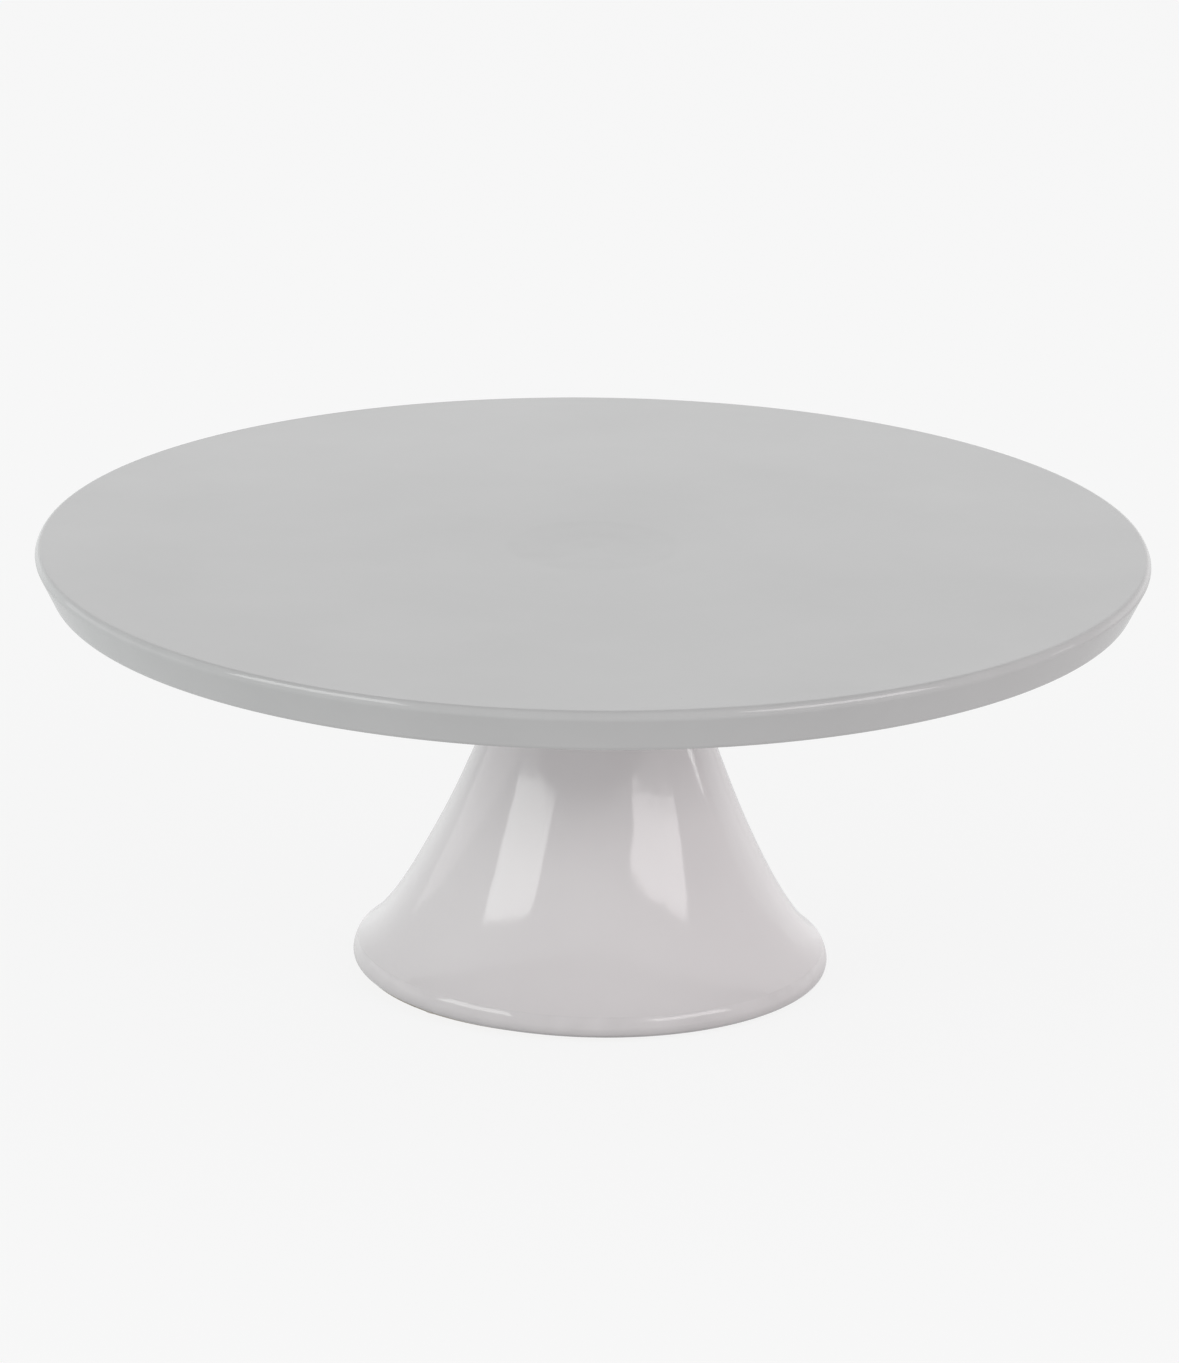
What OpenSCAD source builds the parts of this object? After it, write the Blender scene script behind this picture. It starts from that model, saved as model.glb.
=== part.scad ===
// Footed cake stand: a round glazed plate bolted onto a hollow flared pedestal.
// The origin is the centre of the surface that the stand rests on, and +Z is up.
// All sizes are in millimetres.

/* [Stand] */
// Height of the top of the plate above the table
stand_h = 119; // [112:1:130]

/* [Plate] */
// Diameter of the plate
plate_d = 300; // [240:5:340]
// Thickness of the plate's floor
plate_t = 7; // [6:0.5:8]
// Depth of the turned-down rim, from the plate's top
rim_depth = 12; // [11:0.5:16]
// Width of the rim's wall at its lower edge
rim_wall = 7; // [6:0.5:10]
// How far the outside of the rim leans inwards on its way down
rim_taper = 3.8; // [1:0.2:6]
// Radius of the rim's top edge
rim_top_r = 2; // [1:0.25:3]
// Radius of the rim's lower outside edge
rim_low_r = 2.5; // [1.5:0.25:3]
// Depth of the shallow dish that firing leaves in the middle of the plate
dish_depth = 0.35; // [0:0.05:0.6]
// Radius of that dish
dish_r = 55; // [40:1:70]

/* [Pedestal] */
// Diameter over the bead round the foot
foot_d = 129; // [120:1:136]
// Radius of the bead round the foot
foot_bead_r = 2.8; // [2:0.2:3.4]
// Inside diameter of the foot's flat ring
foot_bore_d = 102; // [96:1:104]
// Angle from the vertical at which the flare leaves the bead
flare_angle = 54; // [48:1:58]
// Diameter of the neck, the narrowest place under the plate
neck_d = 49; // [48:1:56]
// Diameter of the crown that carries the plate
crown_d = 60; // [59:1:70]
// Thickness of the crown's floor under the plate's boss
crown_t = 8; // [6:0.5:9]

/* [Fastening] */
// Thread diameter of the stud
stud_d = 8; // [6:1:8]
// Diameter of the disc on the stud's head
stud_head_d = 22; // [20:1:22]
// Across-flats size of the nut
nut_af = 13; // [10:1:14]
// Height of the nut
nut_h = 6.5; // [5:0.5:7]
// Thickness of the silicone seat between the plate and the pedestal
gasket_t = 1.5; // [1:0.25:2]

/* [Foot pads] */
// Number of pads under the foot
pad_count = 4; // [3:1:6]
// Diameter of a pad
pad_d = 7; // [5:0.5:7]
// How far a pad stands out below the foot
pad_proud = 0.6; // [0.4:0.1:1]

/* [Hidden] */
BASE_NODES = [
    "plate", "pedestal", "seat_gasket", "stud_plate", "stud_potting",
    "rubber_washer", "flat_washer", "spring_washer", "hex_nut"
];

round_fn = 128;
arc_steps = 8;
curve_steps = 28;
overcut = 1;

// Plate, from the top down
plate_r = plate_d / 2;
plate_under_z = stand_h - plate_t;
rim_low_z = stand_h - rim_depth;
rim_low_outer_r = plate_r - rim_taper;
rim_inner_r = rim_low_outer_r - rim_wall;
rim_inner_edge_r = 1.5;
rim_fillet_r = 3;
boss_r = 26;
boss_h = 7.5;
boss_edge_r = 0.8;
boss_fillet_r = 5;
boss_z = plate_under_z - boss_h;
socket_r = 12;
socket_top_z = plate_under_z + 1.2;

// Pedestal
foot_z = pad_proud;
foot_r = foot_d / 2;
foot_bore_r = foot_bore_d / 2;
foot_inner_edge_r = 1.2;
seat_z = boss_z - gasket_t;
crown_r = crown_d / 2;
crown_edge_r = 1;
crown_flare_h = 11;
crown_under_z = seat_z - crown_t;
lip_h = 2.5;
lip_inner_r = boss_r + 0.8;
lip_z = seat_z + lip_h;
neck_r = neck_d / 2;
neck_z = seat_z - 15.5;
neck_bore_r = neck_r - 7;
ceiling_fillet_r = 2.5;
bolt_hole_r = stud_d / 2 + 1;
bolt_hole_chamfer = 0.6;
// Reach of each curve's end along its own tangent
flare_reach = 20.7;
neck_reach = 4;
bore_foot_angle = 15;
bore_foot_reach = 8;
bore_neck_reach = 16;

// Fastening, from the socket down
stud_head_t = 3;
stud_head_z = socket_top_z - stud_head_t;
key_hole_r = 2;
key_hole_ring_r = 7.5;
key_hole_count = 4;
potting_z = boss_z + 0.4;
gasket_inner_r = socket_r + 0.6;
gasket_outer_r = boss_r - 0.6;
washer_bore_r = stud_d / 2 + 0.2;
rubber_washer_r = 13;
rubber_washer_t = 1.5;
rubber_washer_z = crown_under_z - rubber_washer_t;
flat_washer_r = 12;
flat_washer_t = 2;
flat_washer_z = rubber_washer_z - flat_washer_t;
spring_washer_r = 7.4;
spring_washer_t = 2;
spring_washer_z = flat_washer_z - spring_washer_t;
spring_washer_gap = 1.2;
spring_washer_cut_angle = 25;
nut_z = spring_washer_z - nut_h;
nut_bore_r = stud_d / 2 + 0.1;
nut_face_ratio = 0.95;
nut_cone_angle = 30;
stud_past_nut = 2.5;
stud_end_z = nut_z - stud_past_nut;
stud_end_chamfer = 1;

// Foot pads
pad_r = pad_d / 2;
pad_ring_r = 57;
pad_recess_depth = 1;
pad_recess_clearance = 0.2;
pad_edge_r = 0.4;
pad_first_angle = 45;

PLATE_GLAZE = "#c3c3c3";
PEDESTAL_GLAZE = "#e2e0e0";
SILICONE = "#e6e6e2";
RESIN = "#c9c2b2";
STEEL = "#b9bcc0";
RUBBER = "#2b2b2d";

// Points on a circular arc from angle a0 to angle a1
function arc(centre, r, a0, a1) = [
    for (i = [0:arc_steps])
        let (a = a0 + (a1 - a0) * i / arc_steps)
        centre + r * [cos(a), sin(a)]
];

// Point at t on a cubic curve with ends a and d and handles b and c
function cubic(a, b, c, d, t) =
    pow(1 - t, 3) * a + 3 * pow(1 - t, 2) * t * b + 3 * (1 - t) * t * t * c + pow(t, 3) * d;

// Points along that curve, without its two ends, which the neighbouring arcs give
function curve(a, b, c, d) = [
    for (i = [1:curve_steps - 1]) cubic(a, b, c, d, i / curve_steps)
];

// Direction that leans inwards from the vertical by an angle, on the way up
function inward(angle) = [-sin(angle), cos(angle)];

// Plate: the dished top, from the centre outwards
function plate_top() = [
    for (i = [0:arc_steps])
        let (r = dish_r * i / arc_steps)
        [r, stand_h - dish_depth * (1 + cos(180 * r / dish_r)) / 2]
];

// Plate: the rim, down its outside, round its lower edge and up its inside
function plate_rim() = concat(
    arc([plate_r - rim_top_r, stand_h - rim_top_r], rim_top_r, 90, 0),
    arc([rim_low_outer_r - rim_low_r, rim_low_z + rim_low_r], rim_low_r, 0, -90),
    arc([rim_inner_r + rim_inner_edge_r, rim_low_z + rim_inner_edge_r], rim_inner_edge_r, 270, 180),
    arc([rim_inner_r - rim_fillet_r, plate_under_z - rim_fillet_r], rim_fillet_r, 0, 90)
);

// Plate: the boss under its middle, with the blind socket for the stud
function plate_boss() = concat(
    arc([boss_r + boss_fillet_r, plate_under_z - boss_fillet_r], boss_fillet_r, 90, 180),
    arc([boss_r - boss_edge_r, boss_z + boss_edge_r], boss_edge_r, 0, -90),
    [[socket_r, boss_z], [socket_r, socket_top_z], [0, socket_top_z]]
);

// Pedestal: the bead round the foot, from the ground up to the start of the flare
function foot_bead() =
    arc([foot_r - foot_bead_r, foot_z + foot_bead_r], foot_bead_r, -90, flare_angle);

// Pedestal: the long outer flare, from the bead up to the neck
function outer_flare() =
    let (
        low = foot_bead()[arc_steps],
        high = [neck_r, neck_z]
    )
    curve(low, low + flare_reach * inward(flare_angle), high - neck_reach * inward(0), high);

// Pedestal: the short curve from the neck out to the crown
function crown_flare() =
    let (
        spread = crown_r - neck_r,
        r = (pow(spread, 2) + pow(crown_flare_h, 2)) / (2 * spread)
    )
    arc([neck_r + r, neck_z], r, 180, 180 - asin(crown_flare_h / r));

// Pedestal: the raised lip round the seat, the seat and the bolt hole
function crown_seat() = concat(
    arc([crown_r - crown_edge_r, lip_z - crown_edge_r], crown_edge_r, 0, 90),
    [
        [lip_inner_r, lip_z],
        [lip_inner_r, seat_z],
        [bolt_hole_r + bolt_hole_chamfer, seat_z],
        [bolt_hole_r, seat_z - bolt_hole_chamfer],
        [bolt_hole_r, crown_under_z + bolt_hole_chamfer],
        [bolt_hole_r + bolt_hole_chamfer, crown_under_z]
    ]
);

// Pedestal: the inside, from the ceiling down to the foot's flat ring
function pedestal_bore() =
    let (
        high = [neck_bore_r, crown_under_z - ceiling_fillet_r],
        low = [foot_bore_r, foot_z + foot_inner_edge_r],
        low_handle = low + bore_foot_reach * inward(bore_foot_angle)
    )
    concat(
        arc(high - [ceiling_fillet_r, 0], ceiling_fillet_r, 90, 0),
        curve(high, high - bore_neck_reach * inward(0), low_handle, low),
        arc(low + [foot_inner_edge_r, 0], foot_inner_edge_r, 180, 270)
    );

// Flat ring with chamfered edges, standing on z
module ring(outer_r, inner_r, z, h, edge) {
    rotate_extrude($fn = round_fn)
        polygon([
            [inner_r, z],
            [outer_r - edge, z],
            [outer_r, z + edge],
            [outer_r, z + h - edge],
            [outer_r - edge, z + h],
            [inner_r, z + h]
        ]);
}

// Round glazed plate with a turned-down rim and a boss under its middle
module plate() {
    color(PLATE_GLAZE)
        rotate_extrude($fn = round_fn)
            polygon(concat(plate_top(), plate_rim(), plate_boss()));
}

// Hollow flared pedestal, open at the bottom, with a blind recess for each pad
module pedestal() {
    color(PEDESTAL_GLAZE)
        difference() {
            rotate_extrude($fn = round_fn)
                polygon(concat(foot_bead(), outer_flare(), crown_flare(), crown_seat(), pedestal_bore()));
            for (i = [1:pad_count])
                at_pad(i)
                    translate([0, 0, foot_z - overcut])
                        cylinder(r = pad_r + pad_recess_clearance, h = overcut + pad_recess_depth, $fn = 48);
        }
}

// Silicone ring that the plate's boss sits on
module seat_gasket() {
    color(SILICONE) ring(gasket_outer_r, gasket_inner_r, seat_z, gasket_t, 0.2);
}

// Steel stud on a disc, whose holes key it into the potting.
// The thread is drawn at its outer diameter.
module stud_plate() {
    color(STEEL)
        difference() {
            rotate_extrude($fn = round_fn)
                polygon([
                    [0, stud_end_z],
                    [stud_d / 2 - stud_end_chamfer, stud_end_z],
                    [stud_d / 2, stud_end_z + stud_end_chamfer],
                    [stud_d / 2, stud_head_z],
                    [stud_head_d / 2, stud_head_z],
                    [stud_head_d / 2, socket_top_z],
                    [0, socket_top_z]
                ]);
            for (i = [1:key_hole_count])
                rotate([0, 0, 360 * i / key_hole_count])
                    translate([key_hole_ring_r, 0, stud_head_z - overcut])
                        cylinder(r = key_hole_r, h = stud_head_t + 2 * overcut, $fn = 32);
        }
}

// Resin that fills the plate's socket round the stud's head
module stud_potting() {
    color(RESIN)
        difference() {
            translate([0, 0, potting_z])
                cylinder(r = socket_r, h = socket_top_z - potting_z, $fn = round_fn);
            stud_plate();
        }
}

// Rubber washer against the underside of the crown
module rubber_washer() {
    color(RUBBER)
        ring(rubber_washer_r, washer_bore_r, rubber_washer_z, rubber_washer_t, 0.2);
}

// Wide steel washer that spreads the clamping load
module flat_washer() {
    color(STEEL) ring(flat_washer_r, washer_bore_r, flat_washer_z, flat_washer_t, 0.3);
}

// Split spring washer, closed flat by the nut
module spring_washer() {
    color(STEEL)
        difference() {
            ring(spring_washer_r, washer_bore_r, spring_washer_z, spring_washer_t, 0.2);
            translate([0, 0, spring_washer_z + spring_washer_t / 2])
                rotate([spring_washer_cut_angle, 0, 0])
                    translate([0, -spring_washer_gap / 2, -nut_h / 2])
                        cube([2 * spring_washer_r, spring_washer_gap, nut_h]);
        }
}

// Hexagon nut, turned to a cone at both faces
module hex_nut() {
    corner_r = nut_af / 2 / cos(30);
    face_r = nut_face_ratio * nut_af / 2;
    cone_h = (corner_r - face_r) * tan(nut_cone_angle);
    color(STEEL)
        difference() {
            intersection() {
                translate([0, 0, nut_z])
                    cylinder(r = corner_r, h = nut_h, $fn = 6);
                rotate_extrude($fn = round_fn)
                    polygon([
                        [0, nut_z],
                        [face_r, nut_z],
                        [corner_r, nut_z + cone_h],
                        [corner_r, nut_z + nut_h - cone_h],
                        [face_r, nut_z + nut_h],
                        [0, nut_z + nut_h]
                    ]);
            }
            translate([0, 0, nut_z - overcut])
                cylinder(r = nut_bore_r, h = nut_h + 2 * overcut, $fn = 64);
        }
}

// Moves a child to a pad's place on the foot
module at_pad(i) {
    rotate([0, 0, pad_first_angle + 360 * (i - 1) / pad_count])
        translate([pad_ring_r, 0, 0])
            children();
}

// Round silicone pad, stuck in its recess in the foot
module foot_pad(i) {
    pad_top_z = foot_z + pad_recess_depth;
    color(SILICONE)
        at_pad(i)
            rotate_extrude($fn = 64)
                polygon(concat(
                    [[0, 0]],
                    arc([pad_r - pad_edge_r, pad_edge_r], pad_edge_r, -90, 0),
                    [[pad_r, pad_top_z], [0, pad_top_z]]
                ));
}

plate();
pedestal();
seat_gasket();
stud_plate();
stud_potting();
rubber_washer();
flat_washer();
spring_washer();
hex_nut();
for (i = [1:pad_count])
    foot_pad(i);
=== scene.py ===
import math

import bmesh
import bpy
from mathutils import Matrix, Vector, noise


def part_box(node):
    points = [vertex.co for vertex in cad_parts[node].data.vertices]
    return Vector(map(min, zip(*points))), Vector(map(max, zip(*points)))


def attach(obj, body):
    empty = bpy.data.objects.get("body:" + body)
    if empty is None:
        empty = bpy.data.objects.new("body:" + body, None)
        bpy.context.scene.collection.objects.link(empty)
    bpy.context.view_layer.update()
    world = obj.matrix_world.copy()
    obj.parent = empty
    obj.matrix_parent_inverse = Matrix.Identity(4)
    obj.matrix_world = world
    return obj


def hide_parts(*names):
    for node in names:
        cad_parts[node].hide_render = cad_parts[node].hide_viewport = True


# The cake stand is round, so nearly every piece is an outline turned about the Z axis.
# Outlines are drawn in millimetres as (radius, height), and skin() turns them into metres.

MM = 0.001
ROOT = "root"

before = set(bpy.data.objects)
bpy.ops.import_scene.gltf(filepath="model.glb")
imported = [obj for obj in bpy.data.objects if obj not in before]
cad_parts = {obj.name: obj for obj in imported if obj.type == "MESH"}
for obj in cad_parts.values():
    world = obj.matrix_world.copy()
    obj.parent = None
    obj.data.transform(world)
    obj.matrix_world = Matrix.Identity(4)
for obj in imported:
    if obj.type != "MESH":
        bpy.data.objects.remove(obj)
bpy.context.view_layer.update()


def box_mm(node):
    """Lowest and highest corner of a CAD node, in millimetres."""
    low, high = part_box(node)
    return low / MM, high / MM


# ---------------------------------------------------------------- outlines

def arc(centre, radius, start, end, steps=12):
    """Points on a circular arc between two angles in degrees."""
    angles = [math.radians(start + (end - start) * i / steps) for i in range(steps + 1)]
    return [(centre[0] + radius * math.cos(a), centre[1] + radius * math.sin(a)) for a in angles]


def line(a, b, steps=1, hold=0.0):
    """Points along a straight line, with one more point close to each end where hold is set."""
    shares = [i / steps for i in range(steps + 1)]
    if hold:
        near = hold / math.dist(a, b)
        shares += [near, 1 - near]
    return [(a[0] + (b[0] - a[0]) * t, a[1] + (b[1] - a[1]) * t) for t in sorted(shares)]


def cubic(a, b, c, d, steps):
    """Points on a cubic curve with ends a and d and handles b and c."""
    points = []
    for i in range(steps + 1):
        t = i / steps
        u = 1 - t
        weights = (u ** 3, 3 * u * u * t, 3 * u * t * t, t ** 3)
        points.append(tuple(sum(w * p[k] for w, p in zip(weights, (a, b, c, d))) for k in (0, 1)))
    return points


def shift(p, step):
    """A point moved by a step."""
    return p[0] + step[0], p[1] + step[1]


def inward(angle, reach):
    """A step that leans inwards from the vertical by an angle in degrees, on the way up."""
    return -reach * math.sin(math.radians(angle)), reach * math.cos(math.radians(angle))


def arc_chain(centre, start, pieces, steps=8):
    """Arcs that run smoothly into each other. Each piece is its radius and the angle where it ends."""
    arcs = []
    radius = pieces[0][0]
    for piece_radius, end in pieces:
        centre = shift(centre, arc((0, 0), radius - piece_radius, start, start, 1)[0])
        arcs.append(arc(centre, piece_radius, start, end, steps))
        radius, start = piece_radius, end
    return arcs


def reach_out(arcs, radius):
    """Arcs shifted sideways until their widest point is at a radius."""
    widest = max(r for piece in arcs for r, z in piece)
    return [[shift(p, (radius - widest, 0)) for p in piece] for piece in arcs]


class Outline:
    """An outline whose stretches say how bare of glaze they are, how thin the glaze is with painted shade
    added in, and how they wave.
    """

    def __init__(self):
        self.points = []

    def add(self, points, bare=(0, 0), thin_and_shade=(0, 0), wave=(1, 1)):
        """Adds a stretch. Each pair is the value at its start and at its end."""
        for i, p in enumerate(points):
            if self.points and math.dist(p, self.points[-1][:2]) < 0.02:
                continue
            t = i / (len(points) - 1)
            self.points.append((*p, *(a + (b - a) * t for a, b in (bare, thin_and_shade, wave))))

    def is_ring(self):
        """True if the outline stays off the axis, so that it closes on itself."""
        return self.points[0][0] > 0.01

    def closed_points(self):
        """The points, without a last one that repeats the first."""
        repeats = math.dist(self.points[0][:2], self.points[-1][:2]) < 0.02
        return self.points[:-1] if repeats else self.points

    def turn(self):
        """1 if the body is on the left of the outline's direction, or else -1."""
        points = self.closed_points()
        area = sum(a[0] * b[1] - b[0] * a[1] for a, b in zip(points, points[1:] + points[:1]))
        return math.copysign(1, area)


def ring_outline(inner, outer, low, high, edge, steps=5):
    """A flat ring's outline with rounded edges."""
    outline = Outline()
    for r, z, start in (
        (outer - edge, low + edge, -90),
        (outer - edge, high - edge, 0),
        (inner + edge, high - edge, 90),
        (inner + edge, low + edge, 180),
    ):
        outline.add(arc((r, z), edge, start, start + 90, steps))
    return outline


# ---------------------------------------------------------------- meshes

def skin(name, rings, closed, layers=(), sharp_over=35):
    """Joins rings of places, in millimetres, into a smooth mesh. A ring of one place is a pole."""
    bm = bmesh.new()
    keys = {layer: bm.verts.layers.float.new(layer) for layer in layers}
    made = []
    for ring in rings:
        verts = []
        for place, values in ring:
            vert = bm.verts.new(Vector(place) * MM)
            for layer, value in zip(layers, values):
                vert[keys[layer]] = value
            verts.append(vert)
        made.append(verts)
    count = max(len(ring) for ring in made)
    for low, high in list(zip(made, made[1:])) + ([(made[-1], made[0])] if closed else []):
        for k in range(count):
            n = (k + 1) % count
            corners = (low[k % len(low)], low[n % len(low)], high[n % len(high)], high[k % len(high)])
            bm.faces.new(list(dict.fromkeys(corners)))
    bmesh.ops.recalc_face_normals(bm, faces=bm.faces)
    return link_mesh(name, bm, sharp_over)


def link_mesh(name, bm, sharp_over):
    """Makes an object from a bmesh, smooth but for edges sharper than an angle in degrees."""
    for face in bm.faces:
        face.smooth = True
    for edge in bm.edges:
        edge.smooth = edge.calc_face_angle(math.pi) < math.radians(sharp_over)
    mesh = bpy.data.meshes.new(name)
    bm.to_mesh(mesh)
    bm.free()
    obj = bpy.data.objects.new(name, mesh)
    bpy.context.scene.collection.objects.link(obj)
    return obj


def lathe(name, outline, segments=96, swell=None, warp=None):
    """Turns an outline about the Z axis. swell(place) moves the surface out and warp(place) is a step."""
    points = outline.closed_points()
    closed = outline.is_ring()
    turn = outline.turn()
    rings = []
    for i, (r, z, bare, thin_and_shade, wave) in enumerate(points):
        before = points[i - 1] if i or closed else points[0]
        after = points[(i + 1) % len(points)] if closed or i + 1 < len(points) else points[i]
        along = Vector((after[0] - before[0], after[1] - before[1])).normalized() * turn
        ring = []
        for k in range(segments if r > 0.01 else 1):
            a = math.tau * k / segments
            place = Vector((r * math.cos(a), r * math.sin(a), z))
            if swell:
                out = Vector((along.y * math.cos(a), along.y * math.sin(a), -along.x))
                place += out * (wave * swell(place))
            if warp:
                place += warp(place)
            ring.append((place, (bare, thin_and_shade)))
        rings.append(ring)
    return skin(name, rings, closed, ("bare", "thin_and_shade"))


def apply_modifiers(obj):
    """Bakes an object's modifiers into its mesh."""
    graph = bpy.context.evaluated_depsgraph_get()
    mesh = bpy.data.meshes.new_from_object(obj.evaluated_get(graph))
    obj.modifiers.clear()
    obj.data = mesh


def drill(obj, centres, radius, low, high, segments=48, turn=0.0):
    """Cuts round holes that run up from low to high out of obj. Their walls are bare of glaze.

    turn, in degrees, keeps the holes' corners off the edges of obj, where a cut would leave slivers.
    """
    for x, y in centres:
        outline = Outline()
        outline.add([(0, low), (radius, low), (radius, high), (0, high)], bare=(1, 1))
        bit = lathe("bit", outline, segments)
        placed = Matrix.Translation((x * MM, y * MM, 0)) @ Matrix.Rotation(math.radians(turn), 4, "Z")
        bit.data.transform(placed)
        cut = obj.modifiers.new("cut", "BOOLEAN")
        cut.operation = "DIFFERENCE"
        cut.solver = "EXACT"
        cut.object = bit
        apply_modifiers(obj)
        bpy.data.objects.remove(bit)
    return obj


def round_edges(obj, width, angle, segments=2):
    """Rounds the edges sharper than an angle in degrees."""
    bevel = obj.modifiers.new("bevel", "BEVEL")
    bevel.width = width * MM
    bevel.segments = segments
    bevel.limit_method = "ANGLE"
    bevel.angle_limit = math.radians(angle)
    apply_modifiers(obj)
    return obj


def install(obj, node, material):
    """Hides the CAD node that a piece stands for, gives the piece its material and lets it ride."""
    obj.data.materials.clear()
    obj.data.materials.append(material)
    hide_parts(node)
    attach(obj, ROOT)
    return obj


# ---------------------------------------------------------------- surface waviness

# Moves each layer's noise by this many times its height, so that the layers don't line up.
LAYER_SHIFT = 7.3


def layered_waves(place, layers):
    """Sum of smooth noise. Each layer is its size and its height, in millimetres."""
    return sum(h * noise.noise(Vector(place) / size + Vector((0, 0, LAYER_SHIFT * h))) for size, h in layers)


# Jiggered and glazed clay is never quite true: it warps, and the glaze gathers and thins.
PLATE_WAVES = ((150, 0.30), (60, 0.07), (24, 0.02))
PEDESTAL_WAVES = ((90, 0.22), (34, 0.10), (17, 0.10), (7, 0.012))
# The jiggering rings: the radius over which they go through one radian, and their height.
JIGGER_REACH = 2.1
JIGGER_HEIGHT = 0.004


def plate_swell(place):
    """How far the plate's surface stands out, with the faint rings that jiggering leaves."""
    rings = JIGGER_HEIGHT * math.sin(math.hypot(place[0], place[1]) / JIGGER_REACH)
    return layered_waves(place, PLATE_WAVES) + rings


def pedestal_swell(place):
    """How far the pedestal's surface stands out."""
    return layered_waves(place, PEDESTAL_WAVES)


def smooth_step(value, low, high):
    """0 below low, 1 above high, and a smooth rise between them."""
    t = min(max((value - low) / (high - low), 0), 1)
    return t * t * (3 - 2 * t)


# The fired pedestal leans to the right, and its edge is higher on the left than on the right.
LEAN_AT_FOOT = 0.5
LEAN_PER_HEIGHT = 0.018
EDGE_TILT = 0.98
EDGE_LIFT = 0.60
EDGE_RISE = 0.3
EDGE_R = 64.5
# Ranges of radius or height over which the warp sets in or fades out.
OFF_RING_R = (60.8, 63.5)
OFF_RING_Z = (2.5, 7)
LIFT_FADES = (30, 62)
LEAN_FADES = (72, 90)


def pedestal_warp(place):
    """How far the kiln moved the pedestal. Its seat and the ring that holds the pads stay true."""
    x, y, z = place
    off_ring = max(smooth_step(math.hypot(x, y), *OFF_RING_R), smooth_step(z, *OFF_RING_Z))
    left = -x / EDGE_R
    lift = (EDGE_RISE + EDGE_TILT * left + EDGE_LIFT * left * left) * (1 - smooth_step(z, *LIFT_FADES))
    lean = (LEAN_AT_FOOT + LEAN_PER_HEIGHT * z) * (1 - smooth_step(z, *LEAN_FADES))
    return Vector((lean, 0, lift)) * off_ring


# ---------------------------------------------------------------- plate

PLATE_SEGMENTS = 320
SOCKET_R = 12.0
GASKET_CLEARANCE = 0.6
PLATE_T = 7.0
RIM_DEPTH = 12.0
RIM_TAPER = 3.8
RIM_WALL = 7.0
# Arcs of the rim's upper edge from the top face down: radius, and angle where it ends.
RIM_TOP = ((1.1, 29.0), (5.5, 17.0))
RIM_BELLY_R = 1.5
RIM_LOW_R = 2.5
RIM_INNER_R = 1.5
RIM_FILLET_R = 3.0
BOSS_FILLET_R = 5.0
BOSS_EDGE_R = 0.8
BOSS_R = 26.0
SOCKET_EDGE_R = 0.4
DISH_R = 55.0
DISH_DEPTH = 0.15
HOLD = 0.35


def rim_edge(corner, side_angle):
    """The arcs from the plate's top face to the side of its rim, under a corner of its outline."""
    chain = arc_chain((0, corner[1] - RIM_TOP[0][0]), 90, (*RIM_TOP, (RIM_BELLY_R, side_angle)))
    return reach_out(chain, corner[0])


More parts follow.
